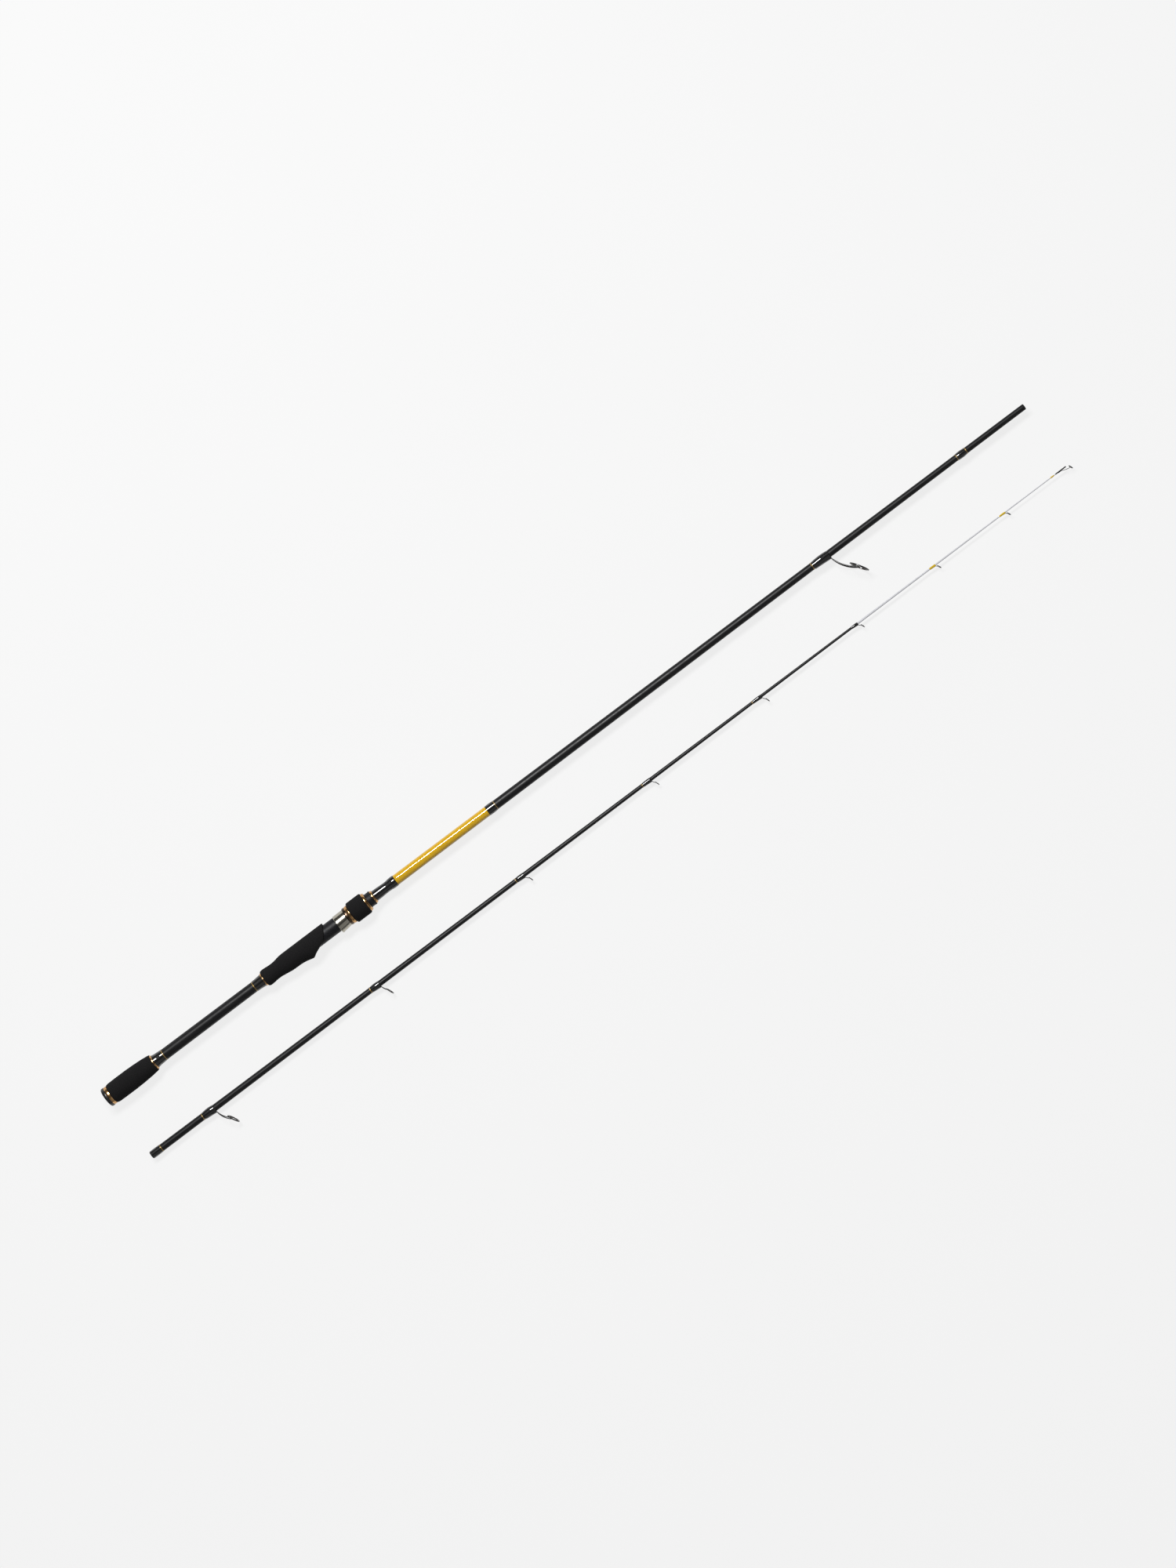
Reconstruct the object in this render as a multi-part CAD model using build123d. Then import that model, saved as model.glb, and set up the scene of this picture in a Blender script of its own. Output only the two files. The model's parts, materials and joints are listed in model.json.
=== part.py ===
from build123d import *
from collections import namedtuple
import math
import os

# Two-piece spinning rod, taken apart. Millimetres.
# Origin: centre of the butt cap's end face. +X runs towards the tip, +Z is up,
# and the guides and the reel side of the seat face -Y. The butt section lies on
# the X axis. The tip section lies beside it, level with its butt end.

# ---- driving dimensions ---------------------------------------------------
BUTT_LENGTH = 1260.5
SECTION_SPACING = 80.0          # between the two axes, as the sections lie
TIP_START_X = 1.0               # rear end of the tip section, as it lies
ASSEMBLED_START_X = 1182.0      # rear end of the tip section on the put-over ferrule
FERRULE_CLEARANCE = 0.07        # radial, both tapers alike
NUT_RADIUS = 12.6

# Outside of the butt blank as (x, radius), and its wall.
BUTT_TAPER = [(2.5, 6.60), (300, 5.85), (560, 5.38), (940, 4.38), (1120, 3.76), (1160, 3.70),
              (BUTT_LENGTH, 3.45)]
BUTT_WALL = [1.40, 1.25, 1.18, 1.08, 1.06, 1.05, 1.05]

# Tip blank: one straight taper, then a spliced solid tip.
TIP_BLANK_END = 971.0
TIP_REAR_RADIUS = 4.20
TIP_FRONT_RADIUS = 1.36
FERRULE_DEPTH = 80.5
TIP_FERRULE_END = 90.0          # where the reinforced rear end passes into the blank
TIP_CORE_RADIUS = 3.32          # inside of the tip blank in front of the ferrule
SPLICE_START = 925.0
SPLICE_RADIUS = 0.95
SOLID_TIP_REAR_RADIUS = 1.25
SOLID_TIP_END = 1241.0
SOLID_TIP_FRONT_RADIUS = 0.58
TIP_TUBE_BORE = 0.50
TIP_TUBE_RADIUS = 0.72

# Butt end and grips, as distances from the butt cap's face.
CAP_LENGTH = 4.0
CAP_RADIUS = 11.4
CAP_RING_END = 7.4
REAR_GRIP_END = 65.2
REAR_WRAP_START = 66.9
REAR_WRAP_END = 78.7
MID_WRAP_START = 204.1
MID_WRAP_END = 215.6
MAIN_GRIP_START = 217.2
MAIN_GRIP_END = 304.0
MAIN_GRIP_HALF_WIDTH = 11.1
TRIGGER_X = 275.2

# Reel seat.
SEAT_START = 258.0
SEAT_END = 359.6
SEAT_RADIUS = 8.75
SEAT_BORE = 7.2
THREAD_START = 332.5
THREAD_PITCH = 1.5
THREAD_TURNS = 17
THREAD_DEPTH = 0.65
COLLAR_END = 366.0
CHECK_END = 368.4
POCKET_START = 262.0
POCKET_MOUTH = 276.0

# Sliding hood and lock nut.
HOOD_BORE = SEAT_RADIUS + 0.10
HOOD_START = 317.2
HOOD_END = 330.2
HOOD_PALM_RADIUS = 9.7
HOOD_LIP_DROP = 11.9
HOOD_FRONT_DROP = 10.1
DARK_RING_END = 333.0
DARK_RING_RADIUS = 10.6
GOLD_RING_END = 336.5
SWIVEL_RADIUS = 9.45
SWIVEL_FLANGE_RADIUS = 9.95
SWIVEL_CLEARANCE = 0.10
NUT_START = 336.9
NUT_END = 356.4
NUT_RING_END = 359.3

# Wraps and the painted band in front of the seat.
BAND_START = 397.3
BAND_END = 523.2
BAND_WRAP_END = 533.6
STOP_WRAP_START = 1168.1
STOP_WRAP_END = 1179.4
TRIM_WIDTH = 1.2
TRIM_HEIGHT = 0.30
TIP_REAR_WRAP_END = 13.0

# Line guides. Drop is the distance of the ring's centre from the section's axis, the leg
# angle is counted round the ring from the point nearest the blank, and bow is how far
# the legs curve out of the straight.
Guide = namedtuple("Guide", "name wrap_start wrap_end ring_x drop radius lean wire leg_angle bow")
STRIPPER_GUIDE = Guide("stripper", 969.8, 992.0, 1010.5, 31.3, 11.4, 32.0, 0.68, 90, 3.4)
TIP_GUIDES = [
    Guide("guide_1", 71.3, 86.4, 96.1, 21.8, 7.45, 26.6, 0.50, 85, 2.0),
    Guide("guide_2", 301.9, 313.5, 317.8, 13.3, 5.00, 21.8, 0.45, 50, 0.5),
    Guide("guide_3", 501.7, 512.1, 515.6, 8.2, 2.95, 19.0, 0.34, 52, 0.3),
    Guide("guide_4", 675.5, 686.6, 689.5, 7.8, 2.85, 20.0, 0.34, 52, 0.3),
    Guide("guide_5", 826.7, 838.6, 841.6, 7.6, 2.80, 18.0, 0.34, 52, 0.3),
    Guide("guide_6", 962.5, 970.8, 974.0, 5.6, 2.60, 19.0, 0.32, 50, 0.2),
    Guide("guide_7", 1069.8, 1077.8, 1080.2, 4.3, 2.60, 22.0, 0.30, 60, 0.1),
    Guide("guide_8", 1165.7, 1173.8, 1176.2, 3.9, 2.50, 22.0, 0.30, 60, 0.1),
]
TIP_TOP = Guide("tip_top", 1235.8, SOLID_TIP_END, 1261.4, 3.6, 2.75, 20.0, 0.28, 95, 0.6)
TIP_TUBE_START = 1243.0
TIP_TUBE_END = 1257.5
TIP_TOP_LEG_X = 1251.0
TIP_TOP_LEG_ROOT = (-0.82, 0.25)    # y and half spacing of the tip-top's legs at the tube
FOOT_WIDTH_IN_WIRES = 3.6       # width of a guide's foot, in wire radii
FOOT_DEPTH_IN_WIRES = 2.3       # its thickness, in wire radii
FRAME_BAND = 0.16               # frame band thickness, as a share of the frame radius
FRAME_BAND_LIMITS = (0.34, 0.70)
FOOT_SETBACK = 1.5              # the foot starts this far in front of its wrap's rear end
FOOT_CLEARANCE = 0.02           # between the foot and the blank

FIRST_GUIDE_HALF_WIDTH = 7.55
TIP_AXIS_DROP = NUT_RADIUS - FIRST_GUIDE_HALF_WIDTH     # both sections lie on one level


# ---- shape helpers --------------------------------------------------------
def interpolate(points, x):
    for (x0, r0), (x1, r1) in zip(points, points[1:]):
        if x <= x1:
            return r0 + (r1 - r0) * (x - x0) / (x1 - x0)
    return points[-1][1]


def butt_radius(x):
    return interpolate(BUTT_TAPER, x)


def tip_radius(u):
    if u <= TIP_BLANK_END:
        return TIP_REAR_RADIUS + (TIP_FRONT_RADIUS - TIP_REAR_RADIUS) * u / TIP_BLANK_END
    front = (u - TIP_BLANK_END) / (SOLID_TIP_END - TIP_BLANK_END)
    return SOLID_TIP_REAR_RADIUS + (SOLID_TIP_FRONT_RADIUS - SOLID_TIP_REAR_RADIUS) * front


def turned(outline):
    """Solid of revolution about X from a closed outline of (x, radius) points."""
    return revolve(make_face(Polyline(*outline, close=True)), Axis.X)


def sleeve(surface, start, end, profile):
    """A ring on a blank: profile lists (share of the length, radius) from start to end."""
    top = [(start + (end - start) * share, radius) for share, radius in profile]
    return turned([(start, surface(start))] + top + [(end, surface(end))])


def wrap_profile(surface, start, end, rear, middle, front, steps=8):
    """Heights of a thread wrap over its blank: rear edge, middle and front edge."""
    profile = []
    for i in range(steps + 1):
        share = i / steps
        edge = rear + (front - rear) * share
        height = edge + (middle - (rear + front) / 2) * math.sin(math.pi * share)
        profile.append((share, surface(start + (end - start) * share) + height))
    return profile


def trim_band(surface, start):
    """A thin band of metallic thread."""
    end = start + TRIM_WIDTH
    profile = [(0, surface(start) + TRIM_HEIGHT), (1, surface(end) + TRIM_HEIGHT)]
    return sleeve(surface, start, end, profile)


def cylinder_along(start, end, radius):
    return Pos((start + end) / 2, 0, 0) * Rot(0, 90, 0) * Cylinder(radius, end - start)


def round_loft(stations):
    """Loft of circles at (x, centre y, radius) stations."""
    faces = [Plane(origin=(x, y, 0), z_dir=(1, 0, 0)) * Circle(radius) for x, y, radius in stations]
    return loft(faces, ruled=True)


def side_prism(outline, half_width):
    """Prism across the rod from an outline in the XY plane."""
    face = make_face(Polyline(*outline, close=True))
    return extrude(face, half_width, both=True)


def largest(shape):
    """The main solid of a cut, without the slivers that a cut can leave."""
    return shape.solids().sort_by(SortBy.VOLUME)[-1]


def write(shape, name):
    shape.label = name
    export_step(shape, os.path.join("parts", name + ".step"))


# ---- butt section ---------------------------------------------------------
def butt_blank():
    inner = [(x, radius - wall) for (x, radius), wall in zip(BUTT_TAPER, BUTT_WALL)]
    return turned(BUTT_TAPER + inner[::-1])


def ferrule_plug():
    start = BUTT_LENGTH - 9.0
    bore = [(x, radius - wall) for (x, radius), wall in zip(BUTT_TAPER, BUTT_WALL)]
    front = BUTT_LENGTH - 0.4
    return turned([(start, 0), (start, interpolate(bore, start)), (front, interpolate(bore, front)),
                   (front, 0)])


def butt_cap():
    edge = 1.5
    blind = BUTT_TAPER[0][0]
    outline = [(0, 0), (0, CAP_RADIUS - edge), (0.25 * edge, CAP_RADIUS - 0.35 * edge), (edge, CAP_RADIUS),
               (CAP_LENGTH, CAP_RADIUS), (CAP_LENGTH, butt_radius(CAP_LENGTH)), (blind, butt_radius(blind)),
               (blind, 0)]
    return turned(outline)


def rear_grip():
    profile = [(0, 10.7), (0.02, 11.5), (0.06, 11.85), (0.2, 12.0), (0.45, 12.0), (0.65, 11.65),
               (0.83, 11.0), (0.97, 10.1), (1, 9.7)]
    return sleeve(butt_radius, CAP_RING_END, REAR_GRIP_END, profile)


def main_grip():
    """Foam grip: palm side, reel side with its trigger, and the slanted front edge."""
    # x, palm-side radius, reel-side radius, half width
    stations = [
        (MAIN_GRIP_START, 8.6, 8.6, 8.6), (218.4, 9.5, 9.5, 9.5), (220.5, 9.9, 9.9, 9.9),
        (224.0, 9.75, 9.75, 9.75), (229.0, 9.25, 9.25, 9.25), (233.0, 9.2, 9.2, 9.2),
        (238.0, 9.7, 9.75, 9.7), (244.0, 10.9, 10.7, 10.6), (248.5, 11.1, 11.3, 11.0),
        (260.0, 11.1, 11.5, MAIN_GRIP_HALF_WIDTH),
        (266.2, 11.1, 12.3, MAIN_GRIP_HALF_WIDTH), (270.5, 11.1, 13.3, MAIN_GRIP_HALF_WIDTH),
        (TRIGGER_X, 11.1, 14.4, MAIN_GRIP_HALF_WIDTH), (290.0, 11.1, 14.4, MAIN_GRIP_HALF_WIDTH),
        (MAIN_GRIP_END, 11.1, 14.4, MAIN_GRIP_HALF_WIDTH)]
    faces = []
    for x, palm, reel, half_width in stations:
        plane = Plane(origin=(x, (palm - reel) / 2, 0), x_dir=(0, 1, 0), z_dir=(1, 0, 0))
        faces.append(plane * Ellipse((palm + reel) / 2, half_width))
    grip = loft(faces, ruled=True)
    grip -= turned([(0, 0), (0, butt_radius(0)), (SEAT_START, butt_radius(SEAT_START)), (SEAT_START, 0)])
    grip -= turned([(SEAT_START, 0), (SEAT_START, SEAT_RADIUS), (MAIN_GRIP_END + 1, SEAT_RADIUS),
                    (MAIN_GRIP_END + 1, 0)])
    front_edge = [(TRIGGER_X, -20), (TRIGGER_X, -14.4), (276.8, -13.3), (279.3, -11.5), (283.5, -9.6),
                  (288, -7.8), (292, -6.1), (295.8, -4.0), (301.4, 3.7), (MAIN_GRIP_END, 10.6),
                  (MAIN_GRIP_END, 20), (MAIN_GRIP_END + 5, 20), (MAIN_GRIP_END + 5, -20)]
    grip -= side_prism(front_edge, 20)
    grip -= pocket_lining_envelope()
    grip -= round_loft([(POCKET_MOUTH, -3.1, 8.3), (MAIN_GRIP_END, -3.1, 8.3)])
    return grip


def pocket_lining_envelope():
    return round_loft([(POCKET_START, 0, 9.9), (POCKET_MOUTH, -3.0, 9.4)])


def fixed_hood():
    """Rear pocket that takes the heel of the reel foot, lining the grip's trigger."""
    hood = pocket_lining_envelope()
    hood -= round_loft([(POCKET_START + 1.2, -0.2, 8.9), (POCKET_MOUTH + 0.5, -3.1, 8.3)])
    return hood - cylinder_along(SEAT_START, SEAT_END, SEAT_RADIUS)


def reel_seat_body():
    """Seat tube with its thread cut into the front as ring grooves."""
    outline = [(SEAT_START, SEAT_BORE), (SEAT_START, SEAT_RADIUS), (THREAD_START, SEAT_RADIUS)]
    for turn in range(THREAD_TURNS):
        x = THREAD_START + turn * THREAD_PITCH
        outline += [(x + 0.60, SEAT_RADIUS - THREAD_DEPTH), (x + 0.80, SEAT_RADIUS - THREAD_DEPTH),
                    (x + 1.40, SEAT_RADIUS), (x + THREAD_PITCH, SEAT_RADIUS)]
    outline += [(SEAT_END, SEAT_RADIUS), (SEAT_END, SEAT_BORE)]
    return turned(outline)


def seat_arbors():
    """Bushings that centre the seat on the blank."""
    arbors = []
    for start in (262.0, 298.0, 338.0):
        end = start + 16.0
        if start < BUTT_TAPER[1][0] < end:
            knee = BUTT_TAPER[1]
            arbors.append(turned([(start, butt_radius(start)), (start, SEAT_BORE), (end, SEAT_BORE),
                                  (end, butt_radius(end)), knee]))
        else:
            arbors.append(sleeve(butt_radius, start, end, [(0, SEAT_BORE), (1, SEAT_BORE)]))
    return Compound(children=arbors)


def seat_collar():
    profile = [(0, 8.25), (0.72, 8.25), (0.74, 8.55), (0.94, 8.55), (1, 8.2)]
    return sleeve(butt_radius, SEAT_END, COLLAR_END, profile)


def fore_wrap():
    """Wrap that fairs the seat into the blank, with a hump where the painted band begins."""
    profile = [(0, 6.35), (0.2, 6.3), (0.4, 5.98), (0.55, 5.80), (0.66, 5.92), (0.76, 6.35), (0.86, 6.58),
               (0.95, 6.55), (1, 6.25)]
    return sleeve(butt_radius, CHECK_END, BAND_START, profile)


def grip_wraps():
    """The two wraps that run from the grips down to the bare blank between them."""
    rear = [(0, 7.85), (0.3, 7.25), (0.7, 6.98), (1, butt_radius(REAR_WRAP_END) + TRIM_HEIGHT)]
    main = [(0, butt_radius(MID_WRAP_START) + TRIM_HEIGHT), (0.3, 6.55), (0.7, 6.95), (1, 7.4)]
    return Compound(children=[sleeve(butt_radius, REAR_WRAP_START, REAR_WRAP_END, rear),
                              sleeve(butt_radius, MID_WRAP_START, MID_WRAP_END, main)])


def butt_trims():
    starts = [REAR_WRAP_END, MID_WRAP_START - TRIM_WIDTH, BAND_WRAP_END,
              STRIPPER_GUIDE.wrap_start - TRIM_WIDTH, STOP_WRAP_START - TRIM_WIDTH, STOP_WRAP_END]
    return Compound(children=[trim_band(butt_radius, start) for start in starts])


# ---- sliding hood and lock nut -------------------------------------------
def sliding_hood():
    """Metal hood with the pocket that takes the toe of the reel foot."""
    hood = round_loft([
        (HOOD_START, (HOOD_PALM_RADIUS - HOOD_LIP_DROP) / 2, (HOOD_PALM_RADIUS + HOOD_LIP_DROP) / 2),
        (HOOD_END, (HOOD_PALM_RADIUS - HOOD_FRONT_DROP) / 2, (HOOD_PALM_RADIUS + HOOD_FRONT_DROP) / 2)])
    hood -= cylinder_along(HOOD_START - 5, HOOD_END + 5, HOOD_BORE)
    hood -= round_loft([(HOOD_START - 0.5, -2.1, HOOD_BORE), (HOOD_END - 1.5, -0.1, HOOD_BORE)])
    return hood


def hood_dark_ring():
    """Ring that closes the hood and holds the nut's swivel flange."""
    bore = SWIVEL_FLANGE_RADIUS + SWIVEL_CLEARANCE
    return turned([(HOOD_END, bore), (HOOD_END, DARK_RING_RADIUS - 0.3), (HOOD_END + 0.5, DARK_RING_RADIUS),
                   (DARK_RING_END, DARK_RING_RADIUS), (DARK_RING_END, bore)])


def hood_gold_ring():
    bore = SWIVEL_RADIUS + SWIVEL_CLEARANCE
    return turned([(DARK_RING_END, bore), (DARK_RING_END, 10.5), (GOLD_RING_END - 0.6, 11.1),
                   (GOLD_RING_END, 10.9), (GOLD_RING_END, bore)])


def nut_core():
    """Threaded sleeve of the nut, with the flange that turns inside the hood's rings."""
    flange_start = HOOD_END + 0.4
    flange_end = flange_start + 2.0
    return turned([(flange_start, HOOD_BORE), (flange_start, SWIVEL_FLANGE_RADIUS),
                   (flange_end, SWIVEL_FLANGE_RADIUS), (flange_end, SWIVEL_RADIUS),
                   (NUT_END, SWIVEL_RADIUS), (NUT_END, HOOD_BORE)])


def nut_grip():
    edge = 1.6
    return turned([(NUT_START, SWIVEL_RADIUS), (NUT_START, NUT_RADIUS - edge),
                   (NUT_START + 0.3 * edge, NUT_RADIUS - 0.3 * edge), (NUT_START + edge, NUT_RADIUS),
                   (NUT_END - edge, NUT_RADIUS), (NUT_END - 0.3 * edge, NUT_RADIUS - 0.3 * edge),
                   (NUT_END, NUT_RADIUS - edge), (NUT_END, SWIVEL_RADIUS)])


def nut_ring():
    return turned([(NUT_END, HOOD_BORE), (NUT_END, 11.2), (NUT_END + 1.2, 11.1), (NUT_RING_END, 10.2),
                   (NUT_RING_END, HOOD_BORE)])


# ---- line guides ----------------------------------------------------------
def ring_centre(guide):
    return Vector(guide.ring_x, -guide.drop, 0)


def away_from_blank(guide):
    tilt = math.radians(guide.lean)
    return Vector(math.sin(tilt), -math.cos(tilt), 0)


def ring_place(guide):
    """Location of a guide's ring, with its Z along the ring's axis."""
    tilt = math.radians(guide.lean)
    axis = Vector(math.cos(tilt), math.sin(tilt), 0)
    return Plane(origin=ring_centre(guide), x_dir=away_from_blank(guide), z_dir=axis).location


def band_thickness(guide):
    low, high = FRAME_BAND_LIMITS
    return min(high, max(low, FRAME_BAND * guide.radius))


def frame_band(guide):
    """The plain metal band that holds a guide's ring."""
    width = 0.55 + 0.06 * guide.radius
    band = Cylinder(guide.radius, width) - Cylinder(guide.radius - band_thickness(guide), 2 * width)
    return ring_place(guide) * band


def bowed_leg(start, end, bow, wire):
    """Wire that leaves the foot and curves out to the ring."""
    middle = (start + end) * 0.5 + Vector(-bow * 0.8, -bow * 0.6, 0)
    path = ThreePointArc(start, middle, end)
    return sweep(Plane(origin=path @ 0, z_dir=path % 0) * Circle(wire), path=path)


def ring_seat(guide):
    """The hole that a ring leaves in its frame."""
    radius = guide.radius - band_thickness(guide)
    return ring_place(guide) * Cylinder(radius, 2 * radius)


def ceramic_ring(guide):
    outer = guide.radius - band_thickness(guide)
    inner = outer - (0.30 + 0.09 * guide.radius)
    width = 0.75 + 0.09 * guide.radius
    rounding = 0.24 * (outer - inner)
    section = Plane.XZ * Pos((inner + outer) / 2, 0) * RectangleRounded(outer - inner, width, rounding)
    return ring_place(guide) * revolve(section, Axis.Z)


def leg_end(guide, side):
    """Where a leg meets the middle of the ring's band, on the given side."""
    turn = math.radians(guide.leg_angle)
    radius = guide.radius - band_thickness(guide) / 2
    middle = ring_centre(guide) - away_from_blank(guide) * (radius * math.cos(turn))
    return middle + Vector(0, 0, side * radius * math.sin(turn))


def guide_frame(surface, guide):
    """Foot, two wire legs and the band round the ring, as one bent and brazed frame."""
    wire = guide.wire
    foot_start = guide.wrap_start + FOOT_SETBACK
    foot_end = guide.wrap_end + wire
    foot_depth = FOOT_DEPTH_IN_WIRES * wire
    foot_drop = surface(foot_start) + FOOT_CLEARANCE + foot_depth / 2
    foot_width = FOOT_WIDTH_IN_WIRES * wire
    foot = Box(foot_end - foot_start, foot_depth, foot_width)
    frame = Pos((foot_start + foot_end) / 2, -foot_drop, 0) * foot
    leg_side = foot_width / 2 - 1.2 * wire
    for side in (1, -1):
        root = Vector(guide.wrap_end - wire, -foot_drop, side * leg_side)
        frame += bowed_leg(root, leg_end(guide, side), guide.bow, wire)
    frame += frame_band(guide)
    return largest(frame - ring_seat(guide))


def guide_wrap(surface, guide, frame, height):
    """Thread wrap and its coat over a guide's foot, thicker on the foot's side."""
    start, end = guide.wrap_start, guide.wrap_end
    shift = 0.55 * guide.wire
    top = [(start + (end - start) * share, radius + shift)
           for share, radius in wrap_profile(surface, start, end, 0.15, height, 0.75 * height)]
    body = Pos(0, -shift, 0) * turned([(start, 0)] + top + [(end, 0)])
    body -= turned([(start - 1, 0), (start - 1, surface(start - 1)), (end, surface(end)), (end, 0)])
    return largest(body - frame)


def tip_top_frame():
    """Tube on the end of the tip with the wires and band that carry the last ring."""
    edge = 0.3
    bore_end = TIP_TUBE_END - 1.2
    frame = turned([(TIP_TUBE_START, TIP_TUBE_BORE), (TIP_TUBE_START, TIP_TUBE_RADIUS),
                    (TIP_TUBE_END - edge, TIP_TUBE_RADIUS), (TIP_TUBE_END, TIP_TUBE_RADIUS - edge),
                    (TIP_TUBE_END, 0), (bore_end, 0), (bore_end, TIP_TUBE_BORE)])
    root_y, root_side = TIP_TOP_LEG_ROOT
    for side in (1, -1):
        root = Vector(TIP_TOP_LEG_X, root_y, side * root_side)
        frame += bowed_leg(root, leg_end(TIP_TOP, side), TIP_TOP.bow, TIP_TOP.wire)
    frame += frame_band(TIP_TOP)
    return largest(frame - ring_seat(TIP_TOP))


# ---- tip section ----------------------------------------------------------
def ferrule_bore(u):
    return butt_radius(ASSEMBLED_START_X + u) + FERRULE_CLEARANCE


def tip_ferrule():
    """Rear end of the tip blank, whose bore goes over the butt section's front end."""
    front = TIP_FERRULE_END
    return turned([(0, ferrule_bore(0)), (0, TIP_REAR_RADIUS), (front, tip_radius(front)),
                   (front, TIP_CORE_RADIUS), (FERRULE_DEPTH + 3.0, TIP_CORE_RADIUS),
                   (FERRULE_DEPTH, ferrule_bore(BUTT_LENGTH - ASSEMBLED_START_X))])


def tip_blank():
    rear = TIP_FERRULE_END
    return turned([(rear, TIP_CORE_RADIUS), (rear, tip_radius(rear)), (TIP_BLANK_END, TIP_FRONT_RADIUS),
                   (TIP_BLANK_END, SPLICE_RADIUS), (SPLICE_START - 20, SPLICE_RADIUS)])


def solid_tip():
    front = TIP_TUBE_END - 1.3
    return turned([(SPLICE_START, 0), (SPLICE_START, SPLICE_RADIUS), (TIP_BLANK_END, SPLICE_RADIUS),
                   (TIP_BLANK_END, SOLID_TIP_REAR_RADIUS), (SOLID_TIP_END, SOLID_TIP_FRONT_RADIUS),
                   (TIP_TUBE_START, TIP_TUBE_BORE), (front, TIP_TUBE_BORE), (front, 0)])


def tip_top_wrap():
    start, end = TIP_TOP.wrap_start, TIP_TOP.wrap_end
    return sleeve(tip_radius, start, end, wrap_profile(tip_radius, start, end, 0.1, 0.22, 0.14))


def tip_trims():
    starts = [TIP_REAR_WRAP_END] + [guide.wrap_start - TRIM_WIDTH for guide in TIP_GUIDES[:5]]
    return Compound(children=[trim_band(tip_radius, start) for start in starts])


# ---- all nodes ------------------------------------------------------------
def butt_section_nodes():
    stripper = guide_frame(butt_radius, STRIPPER_GUIDE)
    end_wrap = wrap_profile(butt_radius, BAND_END, BAND_WRAP_END, 0.45, 0.62, 0.35)
    stop_wrap = wrap_profile(butt_radius, STOP_WRAP_START, STOP_WRAP_END, TRIM_HEIGHT, 0.7, TRIM_HEIGHT)
    cap_ring = [(0, 11.0), (0.5, 11.2), (1, 10.9)]
    rear_ring = [(0, 8.9), (0.6, 8.7), (1, 8.1)]
    grip_ring = [(0, 7.6), (0.5, 7.9), (1, 7.9)]
    return {
        "butt_cap": butt_cap(),
        "butt_cap_ring": sleeve(butt_radius, CAP_LENGTH, CAP_RING_END, cap_ring),
        "rear_grip": rear_grip(),
        "rear_grip_ring": sleeve(butt_radius, REAR_GRIP_END, REAR_WRAP_START, rear_ring),
        "grip_wraps": grip_wraps(),
        "main_grip_ring": sleeve(butt_radius, MID_WRAP_END, MAIN_GRIP_START, grip_ring),
        "main_grip": main_grip(),
        "fixed_hood": fixed_hood(),
        "reel_seat_body": reel_seat_body(),
        "seat_arbors": seat_arbors(),
        "seat_collar": seat_collar(),
        "winding_check": sleeve(butt_radius, COLLAR_END, CHECK_END, [(0, 7.7), (0.5, 7.6), (1, 7.0)]),
        "fore_wrap": fore_wrap(),
        "yellow_band": sleeve(butt_radius, BAND_START, BAND_END, [(0, 6.05), (1, 5.75)]),
        "band_end_wrap": sleeve(butt_radius, BAND_END, BAND_WRAP_END, end_wrap),
        "butt_blank": butt_blank(),
        "stripper_frame": stripper,
        "stripper_ring": ceramic_ring(STRIPPER_GUIDE),
        "stripper_wrap": guide_wrap(butt_radius, STRIPPER_GUIDE, stripper, 0.55),
        "ferrule_stop_wrap": sleeve(butt_radius, STOP_WRAP_START, STOP_WRAP_END, stop_wrap),
        "ferrule_plug": ferrule_plug(),
        "butt_trim_bands": butt_trims(),
    }


def hood_and_nut_nodes():
    return {
        "sliding_hood": sliding_hood(),
        "hood_dark_ring": hood_dark_ring(),
        "hood_gold_ring": hood_gold_ring(),
        "nut_core": nut_core(),
        "nut_grip": nut_grip(),
        "nut_ring": nut_ring(),
    }


def tip_section_nodes():
    rear_wrap = wrap_profile(tip_radius, 0.4, TIP_REAR_WRAP_END, 0.30, 0.46, TRIM_HEIGHT)
    nodes = {
        "tip_blank": tip_blank(),
        "tip_ferrule": tip_ferrule(),
        "tip_ferrule_wrap": sleeve(tip_radius, 0.4, TIP_REAR_WRAP_END, rear_wrap),
        "tip_trim_bands": tip_trims(),
        "solid_tip": solid_tip(),
        "tip_top_frame": tip_top_frame(),
        "tip_top_ring": ceramic_ring(TIP_TOP),
        "tip_top_wrap": tip_top_wrap(),
    }
    for guide in TIP_GUIDES:
        frame = guide_frame(tip_radius, guide)
        nodes[guide.name + "_frame"] = frame
        nodes[guide.name + "_ring"] = ceramic_ring(guide)
        nodes[guide.name + "_wrap"] = guide_wrap(tip_radius, guide, frame, 0.36 + 0.2 * guide.wire)
    lying = Pos(TIP_START_X, -SECTION_SPACING, -TIP_AXIS_DROP)
    return {name: lying * shape for name, shape in nodes.items()}


os.makedirs("parts", exist_ok=True)
for group in (butt_section_nodes(), hood_and_nut_nodes(), tip_section_nodes()):
    for node_name, node_shape in group.items():
        write(node_shape, node_name)
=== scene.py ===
import json
import math

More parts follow.
